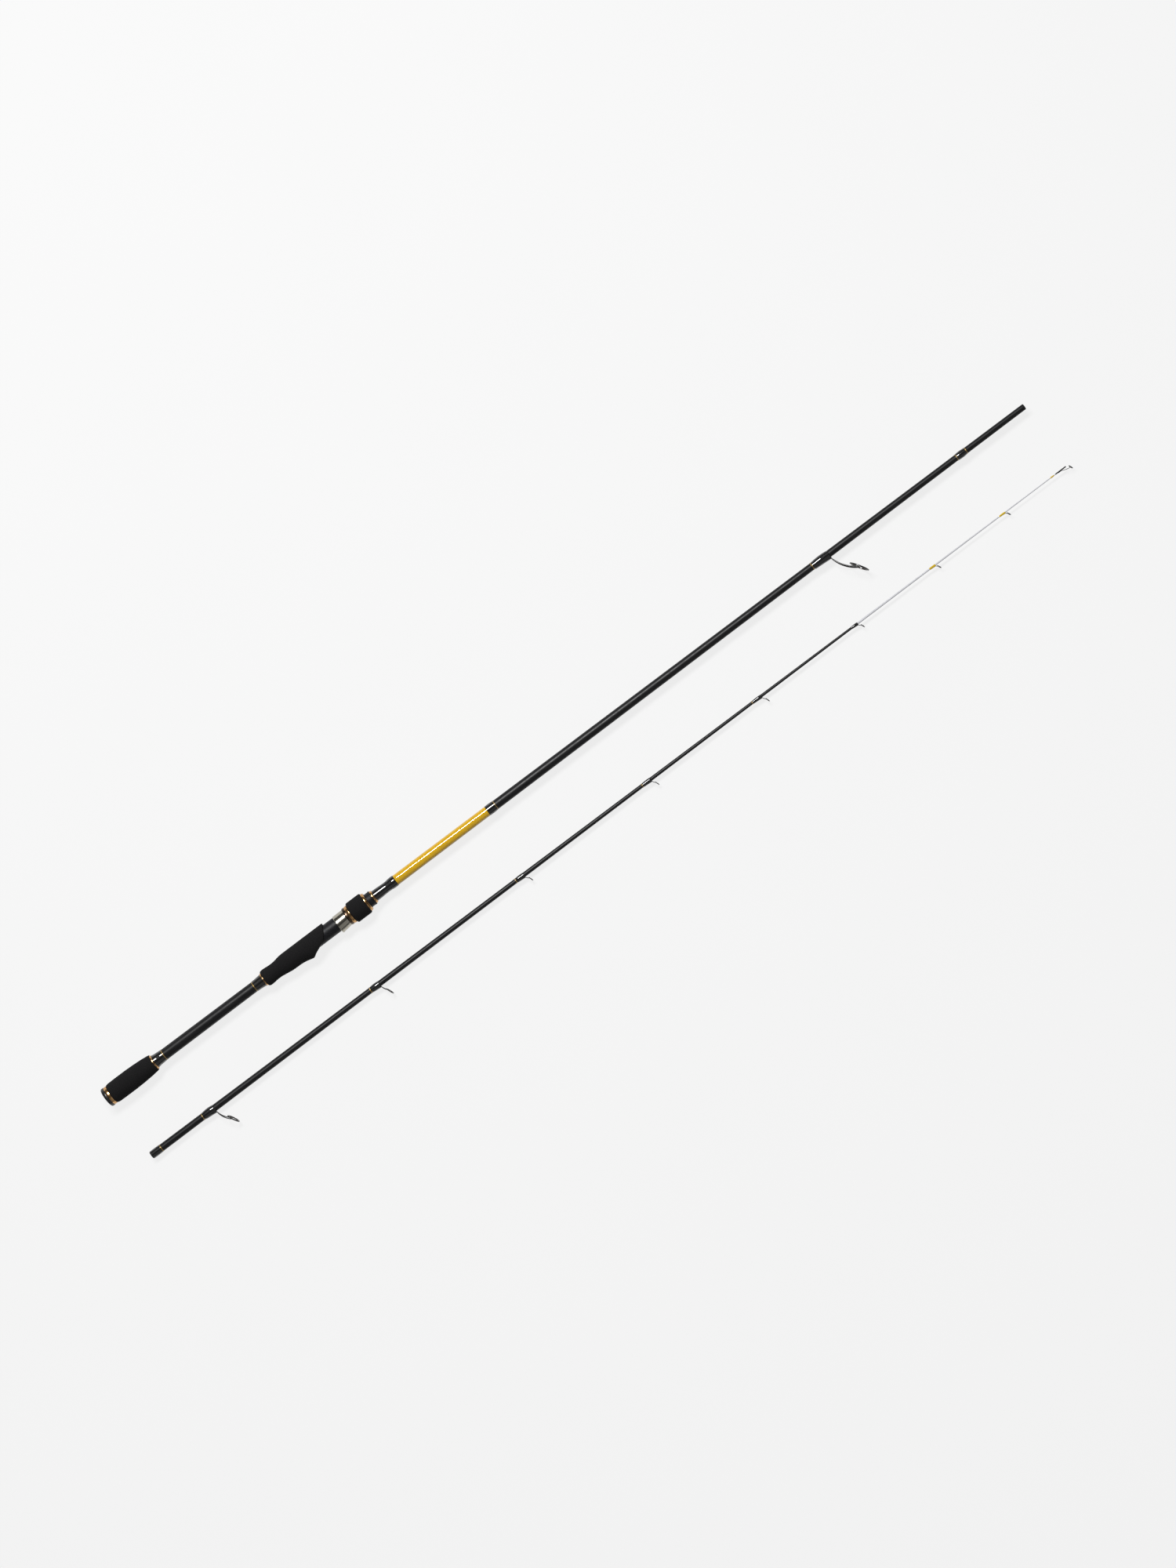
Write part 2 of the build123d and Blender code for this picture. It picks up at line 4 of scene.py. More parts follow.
import bmesh
import bpy
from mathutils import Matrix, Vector


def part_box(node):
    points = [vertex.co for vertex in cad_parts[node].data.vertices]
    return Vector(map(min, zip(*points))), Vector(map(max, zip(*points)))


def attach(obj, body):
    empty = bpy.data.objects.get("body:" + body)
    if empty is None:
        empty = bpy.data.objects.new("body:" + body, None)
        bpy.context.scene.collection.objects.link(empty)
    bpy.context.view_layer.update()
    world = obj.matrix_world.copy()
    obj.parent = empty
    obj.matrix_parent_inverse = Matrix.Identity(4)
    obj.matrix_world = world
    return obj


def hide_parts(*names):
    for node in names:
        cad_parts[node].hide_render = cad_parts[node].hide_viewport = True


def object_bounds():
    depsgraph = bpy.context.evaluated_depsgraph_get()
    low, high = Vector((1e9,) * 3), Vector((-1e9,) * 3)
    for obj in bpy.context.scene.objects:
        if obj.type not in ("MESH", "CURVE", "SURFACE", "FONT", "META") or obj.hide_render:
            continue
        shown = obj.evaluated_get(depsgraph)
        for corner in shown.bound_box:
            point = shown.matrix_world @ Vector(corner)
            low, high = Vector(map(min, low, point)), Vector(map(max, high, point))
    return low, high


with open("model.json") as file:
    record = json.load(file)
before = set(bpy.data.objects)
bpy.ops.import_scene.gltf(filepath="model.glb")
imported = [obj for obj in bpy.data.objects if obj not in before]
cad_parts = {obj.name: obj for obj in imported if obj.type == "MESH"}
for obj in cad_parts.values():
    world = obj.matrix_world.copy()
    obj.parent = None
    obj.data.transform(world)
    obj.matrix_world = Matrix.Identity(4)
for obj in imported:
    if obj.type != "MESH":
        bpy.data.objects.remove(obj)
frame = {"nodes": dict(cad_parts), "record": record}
size_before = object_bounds()

# Lengths in this script are millimetres in the row frame; meshes are scaled to metres
# when they are made.
MM = 0.001
SEGMENTS = 96
BUTT_AXIS = (0.0, 0.0)


def span(node):
    """Lowest and highest corner of a CAD node in millimetres."""
    low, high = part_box(node)
    return low / MM, high / MM


def axis_of(node):
    """The (y, z) of a round CAD node's axis, from the points of its rear end."""
    rear = span(node)[0].x + 0.01
    points = {(round(v.co.y / MM, 3), round(v.co.z / MM, 3)) for v in frame["nodes"][node].data.vertices
              if v.co.x / MM < rear}
    return tuple(round(sum(values) / len(points), 2) for values in zip(*points))


TIP_AXIS = axis_of("tip_ferrule")


# ---- finishes -------------------------------------------------------------
class Finish:
    """A Principled material whose textures are laid out in millimetres of the object."""

    def __init__(self, name, colour, roughness, metallic=0.0, coat=0.0, coat_roughness=0.04, ior=1.5,
                 coat_ior=1.5):
        self.material = bpy.data.materials.new(name)
        self.material.use_nodes = True
        self.tree = self.material.node_tree
        self.shader = self.tree.nodes["Principled BSDF"]
        self.put("Base Color", (*colour, 1.0))
        self.put("Roughness", roughness)
        self.put("Metallic", metallic)
        self.put("IOR", ior)
        self.put("Coat Weight", coat)
        self.put("Coat Roughness", coat_roughness)
        self.put("Coat IOR", coat_ior)
        coordinates = self.add("ShaderNodeTexCoord")
        self.place = self.scaled(coordinates.outputs["Object"], (1000, 1000, 1000))

    def put(self, socket, value):
        self.shader.inputs[socket].default_value = value

    def add(self, kind):
        return self.tree.nodes.new(kind)

    def link(self, source, target):
        self.tree.links.new(source, target)

    def scaled(self, vector, scale, rotation=(0, 0, 0)):
        mapping = self.add("ShaderNodeMapping")
        mapping.inputs["Scale"].default_value = scale
        mapping.inputs["Rotation"].default_value = rotation
        self.link(vector, mapping.inputs["Vector"])
        return mapping.outputs["Vector"]

    def noise(self, scale, detail=3.0, stretch=(1, 1, 1)):
        texture = self.add("ShaderNodeTexNoise")
        texture.inputs["Scale"].default_value = scale
        texture.inputs["Detail"].default_value = detail
        self.link(self.scaled(self.place, stretch), texture.inputs["Vector"])
        return texture.outputs[0]

    def cells(self, scale):
        texture = self.add("ShaderNodeTexVoronoi")
        texture.inputs["Scale"].default_value = scale
        self.link(self.place, texture.inputs["Vector"])
        return texture.outputs["Distance"]

    def rings(self, pitch, wobble=0.4, slant=0.0):
        """Bands across the rod, one every pitch millimetres."""
        texture = self.add("ShaderNodeTexWave")
        texture.inputs["Scale"].default_value = 2 * math.pi / (20 * pitch)
        texture.inputs["Distortion"].default_value = wobble
        texture.inputs["Detail"].default_value = 1.0
        self.link(self.scaled(self.place, (1, 1, 1), (0, 0, slant)), texture.inputs["Vector"])
        return texture.outputs["Fac"]

    def colour(self, value, low, high, start=0.35, end=0.65):
        ramp = self.add("ShaderNodeValToRGB")
        ramp.color_ramp.elements[0].position = start
        ramp.color_ramp.elements[0].color = (*low, 1.0)
        ramp.color_ramp.elements[1].position = end
        ramp.color_ramp.elements[1].color = (*high, 1.0)
        self.link(value, ramp.inputs["Fac"])
        self.link(ramp.outputs["Color"], self.shader.inputs["Base Color"])

    def vary(self, value, socket, low, high):
        span_node = self.add("ShaderNodeMapRange")
        span_node.inputs["From Min"].default_value = 0.3
        span_node.inputs["From Max"].default_value = 0.7
        span_node.inputs["To Min"].default_value = low
        span_node.inputs["To Max"].default_value = high
        self.link(value, span_node.inputs["Value"])
        self.link(span_node.outputs["Result"], self.shader.inputs[socket])

    def relief(self, value, height, socket="Normal", below=None):
        bump = self.add("ShaderNodeBump")
        bump.inputs["Distance"].default_value = height * MM
        self.link(value, bump.inputs["Height"])
        if below is not None:
            self.link(below, bump.inputs["Normal"])
        self.link(bump.outputs["Normal"], self.shader.inputs[socket])
        return bump.outputs["Normal"]


def foam_finish():
    """Closed-cell EVA: matte, with fine cut cells."""
    finish = Finish("eva_foam", (0.012, 0.012, 0.012), 0.92, ior=1.4)
    grain = finish.noise(1.6, 5.0)
    finish.colour(grain, (0.0045, 0.0043, 0.0046), (0.0100, 0.0096, 0.0100))
    pores = finish.relief(finish.cells(2.4), 0.05)
    finish.relief(grain, 0.10, below=pores)
    finish.put("Specular IOR Level", 0.2)
    return finish.material


def rubber_finish():
    finish = Finish("cap_rubber", (0.012, 0.013, 0.015), 0.34, ior=1.55)
    grain = finish.noise(1.1, 4.0)
    finish.colour(grain, (0.004, 0.0045, 0.0055), (0.008, 0.0085, 0.010))
    finish.vary(finish.noise(0.5), "Roughness", 0.28, 0.42)
    finish.relief(grain, 0.03)
    return finish.material


def wound_finish(name, low, high, metallic=0.0, pitch=0.21, thread_height=0.02, coat_ior=1.62):
    """Thread laid turn against turn, under a brushed-on clear coat."""
    finish = Finish(name, high, 0.42, metallic, coat=1.0, coat_roughness=0.03, coat_ior=coat_ior)
    thread = finish.rings(pitch, 0.5)
    finish.colour(finish.noise(0.9, 3.0, (1.6, 0.5, 0.5)), low, high)
    finish.relief(thread, thread_height)
    finish.put("Specular IOR Level", 0.15)
    finish.relief(finish.noise(0.22, 1.0), 0.008, "Coat Normal")
    return finish.material


def turned_metal_finish(name, low, high, roughness):
    """Anodised aluminium with faint lathe marks."""
    finish = Finish(name, high, roughness, metallic=1.0)
    finish.colour(finish.noise(0.5, 3.0), low, high)
    finish.vary(finish.noise(1.8, 3.0, (3, 1, 1)), "Roughness", roughness * 0.8, roughness * 1.25)
    finish.relief(finish.rings(0.16, 0.8), 0.0025)
    return finish.material


def steel_finish():
    finish = Finish("hood_steel", (0.60, 0.57, 0.52), 0.18, metallic=1.0)
    streaks = finish.noise(1.0, 4.0, (9.0, 0.25, 0.25))
    finish.colour(streaks, (0.36, 0.34, 0.28), (0.52, 0.49, 0.42), 0.3, 0.7)
    finish.vary(streaks, "Roughness", 0.13, 0.24)
    finish.relief(streaks, 0.006)
    return finish.material


def carbon_finish():
    """Satin blank with the faint slanted marks of its winding tape."""
    finish = Finish("carbon_blank", (0.011, 0.011, 0.012), 0.42, ior=1.45)
    finish.put("Specular IOR Level", 0.26)
    finish.colour(finish.noise(0.7, 4.0, (0.12, 1, 1)), (0.005, 0.005, 0.0055), (0.009, 0.009, 0.0097))
    marks = finish.relief(finish.rings(1.9, 0.9, 0.22), 0.003)
    finish.relief(finish.noise(3.2, 3.0, (0.3, 1, 1)), 0.003, below=marks)
    finish.vary(finish.noise(0.35, 2.0), "Roughness", 0.34, 0.46)
    return finish.material


def lacquer_finish(name, low, high, roughness=0.3, coat=1.0):
    finish = Finish(name, high, roughness, coat=coat, coat_roughness=0.03, coat_ior=1.6)
    finish.colour(finish.noise(0.8, 4.0, (0.35, 1, 1)), low, high)
    finish.put("Specular IOR Level", 0.15)
    finish.relief(finish.noise(5.0, 2.0), 0.003)
    finish.relief(finish.noise(0.06, 1.0), 0.012, "Coat Normal")
    return finish.material


def moulded_finish():
    finish = Finish("seat_plastic", (0.010, 0.010, 0.012), 0.44)
    finish.put("Specular IOR Level", 0.22)
    finish.colour(finish.noise(0.8, 3.0), (0.004, 0.004, 0.005), (0.009, 0.009, 0.011))
    finish.vary(finish.noise(0.4, 2.0), "Roughness", 0.40, 0.50)
    finish.relief(finish.noise(2.5, 3.0), 0.006)
    return finish.material


def coated_wire_finish():
    finish = Finish("guide_frame_black", (0.008, 0.008, 0.008), 0.34, coat=0.3, coat_roughness=0.12)
    finish.put("Specular IOR Level", 0.3)
    finish.colour(finish.noise(1.5, 3.0), (0.005, 0.005, 0.005), (0.012, 0.011, 0.011))
    finish.vary(finish.noise(2.6, 3.0), "Roughness", 0.24, 0.38)
    finish.relief(finish.noise(6.0, 2.0), 0.004)
    return finish.material


def ceramic_finish():
    finish = Finish("ring_ceramic", (0.030, 0.024, 0.022), 0.10, ior=1.7)
    finish.colour(finish.noise(1.8, 4.0), (0.020, 0.016, 0.014), (0.038, 0.031, 0.028))
    finish.vary(finish.noise(3.0, 2.0), "Roughness", 0.07, 0.16)
    finish.relief(finish.noise(7.0, 2.0), 0.001)
    return finish.material


def rigid_foam_finish():
    finish = Finish("arbor_foam", (0.3, 0.28, 0.24), 0.85)
    finish.colour(finish.cells(2.0), (0.24, 0.22, 0.19), (0.36, 0.33, 0.29), 0.1, 0.6)
    finish.relief(finish.cells(2.0), 0.15)
    return finish.material


FINISHES = {
    "cap_rubber": rubber_finish(),
    "eva_foam": foam_finish(),
    "gold_anodised": turned_metal_finish("gold_anodised", (0.50, 0.28, 0.11), (0.68, 0.41, 0.19), 0.22),
    "gold_thread": wound_finish("gold_thread", (0.17, 0.11, 0.03), (0.34, 0.23, 0.08), 0.85, 0.30, 0.03),
    "yellow_thread": wound_finish("yellow_thread", (0.46, 0.30, 0.0), (0.60, 0.41, 0.01), 0.0, 0.24, 0.02),
    "black_wrap": wound_finish("black_wrap", (0.0016, 0.0016, 0.0018), (0.0034, 0.0034, 0.0037)),
    "carbon_blank": carbon_finish(),
    "solid_tip_white": lacquer_finish("solid_tip_white", (0.46, 0.46, 0.48), (0.54, 0.54, 0.57), 0.5, 0.1),
    "yellow_lacquer": lacquer_finish("yellow_lacquer", (0.50, 0.285, 0.0), (0.57, 0.33, 0.0), 0.55),
    "hood_steel": steel_finish(),
    "dark_bronze": turned_metal_finish("dark_bronze", (0.055, 0.038, 0.028), (0.12, 0.085, 0.06), 0.28),
    "seat_plastic": moulded_finish(),
    "arbor_foam": rigid_foam_finish(),
    "guide_frame_black": coated_wire_finish(),
    "ring_ceramic": ceramic_finish(),
}


def finish_nodes():
    """Every CAD node takes its finish, shown or not."""
    for part in frame["record"]["subparts"]:
        mesh = frame["nodes"][part["node"]].data
        mesh.materials.clear()
        mesh.materials.append(FINISHES[part["material_slot"]])


# ---- mesh helpers ---------------------------------------------------------
def make_piece(name, points, faces, body, slot, nodes, sharp=40):
    """A mesh piece in millimetres, smooth except over sharp edges, riding on a body."""
    mesh = bpy.data.meshes.new(name)
    mesh.from_pydata([Vector(point) * MM for point in points], [], faces)
    work = bmesh.new()
    work.from_mesh(mesh)
    bmesh.ops.remove_doubles(work, verts=work.verts, dist=1e-7)
    bmesh.ops.recalc_face_normals(work, faces=work.faces)
    for face in work.faces:
        face.smooth = True
    for edge in work.edges:
        edge.smooth = len(edge.link_faces) == 2 and edge.calc_face_angle(0) < math.radians(sharp)
    work.to_mesh(mesh)
    work.free()
    mesh.materials.append(FINISHES[slot])
    piece = bpy.data.objects.new(name, mesh)
    bpy.context.scene.collection.objects.link(piece)
    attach(piece, body)
    if nodes:
        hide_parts(*nodes)
    return piece


def skin(rings, closed=True):
    """Points and faces of a surface through rings of equal point counts."""
    count = len(rings[0])
    points = [point for ring in rings for point in ring]
    faces = []
    last = len(rings) if closed else len(rings) - 1
    for i in range(last):
        a, b = i * count, ((i + 1) % len(rings)) * count
        for j in range(count):
            k = (j + 1) % count
            faces.append((a + j, a + k, b + k, b + j))
    return points, faces


def circle_points(x, radius, axis):
    y, z = axis
    turns = [2 * math.pi * k / SEGMENTS for k in range(SEGMENTS)]
    return [(x, y + radius * math.cos(turn), z + radius * math.sin(turn)) for turn in turns]


def lathe(outline, axis):
    return skin([circle_points(x, radius, axis) for x, radius in outline])


def smooth_line(points, steps=6):
    """A line through (x, value) points without overshoot, finer than the points."""
    if len(points) < 3:
        return list(points)
    slopes = [(b[1] - a[1]) / max(b[0] - a[0], 1e-6) for a, b in zip(points, points[1:])]
    tangents = [slopes[0]]
    for left, right in zip(slopes, slopes[1:]):
        tangents.append(0.0 if left * right <= 0 else 2 * left * right / (left + right))
    tangents.append(slopes[-1])
    line = []
    for i, ((x0, r0), (x1, r1)) in enumerate(zip(points, points[1:])):
        gap = x1 - x0
        for step in range(steps):
            t = step / steps
            value = ((2 * t**3 - 3 * t**2 + 1) * r0 + (t**3 - 2 * t**2 + t) * gap * tangents[i]
                     + (3 * t**2 - 2 * t**3) * r1 + (t**3 - t**2) * gap * tangents[i + 1])
            line.append((x0 + gap * t, value))
    return line + [points[-1]]


def lookup(line, x):
    if x <= line[0][0]:
        return line[0][1]
    for (x0, r0), (x1, r1) in zip(line, line[1:]):
        if x <= x1:
            return r0 + (r1 - r0) * (x - x0) / max(x1 - x0, 1e-9)
    return line[-1][1]


def soften(outline, radius, steps=4):
    """Rounds the corners of a closed outline."""
    result = []
    count = len(outline)
    for i, corner in enumerate(outline):
        corner = Vector(corner)
        before = Vector(outline[i - 1]) - corner
        after = Vector(outline[(i + 1) % count]) - corner
        turn = math.pi - before.angle(after, math.pi)
        if turn < math.radians(25):
            result.append(tuple(corner))
            continue
        near = corner + before.normalized() * min(radius, 0.45 * before.length)
        far = corner + after.normalized() * min(radius, 0.45 * after.length)
        for step in range(steps + 1):
            t = step / steps
            result.append(tuple(near * (1 - t)**2 + corner * 2 * t * (1 - t) + far * t**2))
    return result


def in_order(points):
    """Sorts outline points along X and keeps steps in the order the outline runs through them."""
    ordered = []
    for x in sorted({x for x, _ in points}):
        radii = sorted(radius for other, radius in points if other == x)
        ends = [radii[0], radii[-1]] if radii[-1] - radii[0] > 0.03 else [radii[-1]]
        if ordered and abs(ends[0] - ordered[-1][1]) > abs(ends[-1] - ordered[-1][1]):
            ends.reverse()
        ordered += [(x, radius) for radius in ends]
    return ordered


def cad_outlines(nodes, axis):
    """Outer and inner outlines of round CAD nodes in a row, as lists of (x, radius)."""
    outer, inner = set(), set()
    y, z = axis
    for node in nodes:
        mesh = frame["nodes"][node].data
        for polygon in mesh.polygons:
            radial = Vector((0, polygon.center.y / MM - y, polygon.center.z / MM - z)).normalized()
            facing = polygon.normal.dot(radial)
            if abs(facing) < 0.15:
                continue
            for index in polygon.vertices:
                place = mesh.vertices[index].co / MM
                radius = math.hypot(place.y - y, place.z - z)
                (outer if facing > 0 else inner).add((round(place.x, 2), round(radius, 2)))
    return in_order(outer), in_order(inner)


def round_piece(name, nodes, axis, body, slot, smooth=False, edge=0.15, blind=False, solid=False):
    """A fine lathed piece with the CAD nodes' own outline and softened corners."""
    nodes = nodes.split()
    outer, inner = cad_outlines(nodes, axis)
    if solid:
        inner = [(outer[0][0], 0.0), (outer[-1][0], 0.0)]
    if blind:
        outer = [(outer[0][0], 0.0)] + outer
        inner = [(inner[0][0], 0.0)] + inner
    if smooth:
        outer = smooth_line(outer)
    points, faces = lathe(soften(outer + inner[::-1], edge), axis)
    return make_piece(name, points, faces, body, slot, nodes)


def split(outline, gap):
    """The stretches of an outline that lie further apart than the gap."""
    stretches = [[outline[0]]]
    for point in outline[1:]:
        if point[0] - stretches[-1][-1][0] > gap:
            stretches.append([])
        stretches[-1].append(point)
    return stretches


def join(meshes):
    points, faces = [], []
    for more, extra in meshes:
        faces += [tuple(index + len(points) for index in face) for face in extra]
        points += more
    return points, faces


def wrap_pair(name, node, axis, body, slot):
    """The separate wraps that one CAD node holds, each smoothed along its length."""
    outer, inner = cad_outlines([node], axis)
    wraps = [lathe(soften(smooth_line(top) + under[::-1], 0.15), axis)
             for top, under in zip(split(outer, 50.0), split(inner, 50.0))]
    return make_piece(name, *join(wraps), body, slot, [node])


def band_pieces(name, node, axis, body, slot):
    """Narrow bands that one CAD node holds side by side, each with a rounded back."""
    bands = []
    for stretch in split(cad_outlines([node], axis)[0], 3.0):
        (start, rear), (end, front) = stretch[0], stretch[-1]
        outline = [(start, rear - 0.45), (start, rear - 0.12), (start + 0.25, rear), (end - 0.25, front),
                   (end, front - 0.12), (end, front - 0.45)]
        bands.append(lathe(soften(outline, 0.12), axis))
    return make_piece(name, *join(bands), body, slot, [node])


# ---- round pieces ---------------------------------------------------------
def build_round_pieces():
    butt, tip = (BUTT_AXIS, "butt_section"), (TIP_AXIS, "tip_section")
    hood, nut = (BUTT_AXIS, "sliding_hood"), (BUTT_AXIS, "lock_nut")
    round_piece("butt_cap_rubber", "butt_cap", *butt, "cap_rubber", edge=0.9, blind=True)
    round_piece("butt_cap_gold", "butt_cap_ring", *butt, "gold_anodised", smooth=True, edge=0.9)
    round_piece("rear_grip_foam", "rear_grip", *butt, "eva_foam", smooth=True, edge=0.7)
    round_piece("rear_grip_gold", "rear_grip_ring", *butt, "gold_anodised", edge=0.5)
    wrap_pair("grip_bindings", "grip_wraps", *butt, "black_wrap")
    round_piece("main_grip_gold", "main_grip_ring", *butt, "gold_anodised", edge=0.4)
    round_piece("seat_collar_cap", "seat_collar", *butt, "seat_plastic", edge=0.25)
    round_piece("winding_check_gold", "winding_check", *butt, "gold_anodised", edge=0.5)
    round_piece("fore_binding", "fore_wrap", *butt, "black_wrap", smooth=True)
    round_piece("painted_band", "yellow_band", *butt, "yellow_lacquer", edge=0.2)
    round_piece("band_end_binding", "band_end_wrap", *butt, "black_wrap", smooth=True)
    round_piece("ferrule_stop_binding", "ferrule_stop_wrap", *butt, "black_wrap", smooth=True)
    round_piece("butt_blank_tube", "butt_blank", *butt, "carbon_blank", edge=0.2)
    band_pieces("butt_trims", "butt_trim_bands", *butt, "gold_thread")
    round_piece("hood_bronze", "hood_dark_ring", *hood, "dark_bronze", edge=0.3)
    round_piece("hood_gold", "hood_gold_ring", *hood, "gold_anodised", edge=0.5)
    round_piece("nut_sleeve", "nut_core", *nut, "seat_plastic", edge=0.1)
    round_piece("nut_foam", "nut_grip", *nut, "eva_foam", edge=1.0)
    round_piece("nut_gold", "nut_ring", *nut, "gold_anodised", edge=0.6)
    round_piece("tip_blank_tube", "tip_ferrule tip_blank", *tip, "carbon_blank", edge=0.15)
    round_piece("tip_ferrule_binding", "tip_ferrule_wrap", *tip, "black_wrap", smooth=True)
    band_pieces("tip_trims", "tip_trim_bands", *tip, "gold_thread")
    round_piece("solid_tip_rod", "solid_tip", *tip, "solid_tip_white", edge=0.1, solid=True)
    round_piece("tip_top_binding", "tip_top_wrap", *tip, "yellow_thread", smooth=True, edge=0.08)


# ---- reel seat ------------------------------------------------------------
SEAT_RADIUS = 8.75
THREAD_DEPTH = 0.65
THREAD_PITCH = 1.5
THREAD_SPAN = (332.5, 358.0)
STEPS_PER_TURN = 14                 # rings of points along one turn of the thread
SEAT_WALL = 1.5


def turns():
    return [2 * math.pi * k / SEGMENTS for k in range(SEGMENTS)]


def polar_ring(x, radius_at):
    """A closed ring of points at x, its radius a function of the angle from +Y."""
    return [(x, radius_at(turn) * math.cos(turn), radius_at(turn) * math.sin(turn)) for turn in turns()]


def offset_circle(centre, radius):
    """Radius about the rod's axis of a circle whose centre is moved along Y."""
    return lambda turn: centre * math.cos(turn) + math.sqrt(radius**2 - (centre * math.sin(turn))**2)


def widest(*shapes):
    return lambda turn: max(shape(turn) for shape in shapes)


def groove(x, turn):
    """Depth of the helical thread at a point of the seat tube."""
    low, high = THREAD_SPAN
    phase = ((x - low) / THREAD_PITCH - turn / (2 * math.pi)) % 1.0
    flank = min(phase, 1.0 - phase) / 0.5
    fade = min(1.0, max(0.0, (x - low) / 1.5), max(0.0, (high - x) / 1.5))
    return THREAD_DEPTH * fade * min(1.0, max(0.0, 1.35 - 1.6 * flank))


def build_seat_tube():
    low, high = span("reel_seat_body")
    start, end = low.x, high.x
    bore = offset_circle(0.0, SEAT_RADIUS - SEAT_WALL)
    rings = [polar_ring(start, bore)]
    stations = [start, start + 20, 300.0, THREAD_SPAN[0] - 0.3]
    x = THREAD_SPAN[0]
    while x < THREAD_SPAN[1]:
        stations.append(x)
        x += THREAD_PITCH / STEPS_PER_TURN
    stations += [THREAD_SPAN[1] + 0.2, end - 0.2]
    for x in stations:
        rings.append(polar_ring(x, lambda turn, x=x: SEAT_RADIUS - groove(x, turn)))
    rings.append(polar_ring(end, offset_circle(0.0, SEAT_RADIUS - 0.2)))
    rings.append(polar_ring(end, bore))
    make_piece("seat_tube", *skin(rings), "butt_section", "seat_plastic", ["reel_seat_body"], sharp=50)


HOOD_OUTSIDE = [(0.0, -1.10, 10.80), (1.0, -0.20, 9.90)]     # share of the length, centre y, radius
HOOD_POCKET = [(0.0, -2.10, 8.85), (0.88, -0.10, 8.85)]


def between(stations, share):
    """Circle at a share of the length, on a straight line between the two given ones."""
    (s0, c0, r0), (s1, c1, r1) = stations
    t = min(1.0, max(0.0, (share - s0) / (s1 - s0)))
    return c0 + (c1 - c0) * t, r0 + (r1 - r0) * t


def build_sliding_hood():
    """Steel hood: a rounded lip at its mouth, a slight swell behind it, and the foot's pocket."""
    low, high = span("sliding_hood")
    length = high.x - low.x
    bore = offset_circle(0.0, SEAT_RADIUS + 0.10)
    rings = []
    for share, inset in [(0, 0.45), (0.012, 0.18), (0.04, 0.0), (0.10, 0.0), (0.13, 0.10), (0.16, 0.12),
                         (0.3, 0.08), (0.5, 0.02), (0.7, 0.0), (0.9, 0.0), (0.985, 0.0), (1, 0.12)]:
        centre, radius = between(HOOD_OUTSIDE, share)
        rings.append(polar_ring(low.x + length * share, offset_circle(centre, radius - inset)))
    for share in (1.0, 0.88, 0.6, 0.3, 0.03, 0.0):
        centre, radius = between(HOOD_POCKET, share)
        flare = 0.25 if share == 0.0 else 0.0
        rings.append(polar_ring(low.x + length * share, widest(bore, offset_circle(centre, radius + flare))))
    make_piece("steel_hood", *skin(rings), "sliding_hood", "hood_steel", ["sliding_hood"], sharp=50)


POCKET_OUTSIDE = [(0.0, 0.0, 9.90), (1.0, -3.0, 9.40)]
POCKET_INSIDE = [(0.0857, -0.2, 8.90), (1.036, -3.1, 8.30)]


def build_pocket_lining():
    """Moulded lining of the rear pocket, under the grip's trigger."""
    low, high = span("fixed_hood")
    length = high.x - low.x
    seat = offset_circle(0.0, SEAT_RADIUS - 0.06)
    rings = []
    for share in (0.0, 0.25, 0.5, 0.75, 1.0):
        outside = widest(seat, offset_circle(*between(POCKET_OUTSIDE, share)))
        rings.append(polar_ring(low.x + length * share, outside))
    for share in (1.0, 0.75, 0.5, 0.25, 0.09, 0.0857):
        inside = widest(seat, offset_circle(*between(POCKET_INSIDE, share)))
        rings.append(polar_ring(low.x + length * share, inside))
    rings.append(polar_ring(low.x + length * 0.08, seat))
    make_piece("pocket_lining", *skin(rings), "butt_section", "seat_plastic", ["fixed_hood"], sharp=50)


# x, palm-side radius, reel-side radius and half width of the main grip.
GRIP_STATIONS = [
    (217.2, 8.6, 8.6, 8.6), (217.6, 9.15, 9.15, 9.15), (218.4, 9.55, 9.55, 9.55), (220.5, 9.9, 9.9, 9.9),
    (224.0, 9.75, 9.75, 9.75), (229.0, 9.25, 9.25, 9.25), (233.0, 9.2, 9.2, 9.2), (238.0, 9.7, 9.75, 9.7),
    (244.0, 10.75, 10.6, 10.5), (248.5, 11.05, 11.2, 10.95), (260.0, 11.1, 11.5, 11.1),
    (266.2, 11.1, 12.3, 11.1), (270.5, 11.1, 13.3, 11.1), (275.2, 11.1, 14.4, 11.1),
    (304.0, 11.1, 14.4, 11.1)]
# The slanted front edge as (y, x), from the trigger's tip to the palm side.
GRIP_FRONT = [(-14.4, 275.2), (-13.3, 276.8), (-11.5, 279.3), (-9.6, 283.5), (-7.8, 288.0), (-6.1, 292.0),
              (-4.0, 295.8), (3.7, 301.4), (10.6, 304.0)]


GRIP_CHANNEL = (-3.1, 8.35)         # centre y and radius of the channel for the reel foot
GRIP_BORE = 6.2


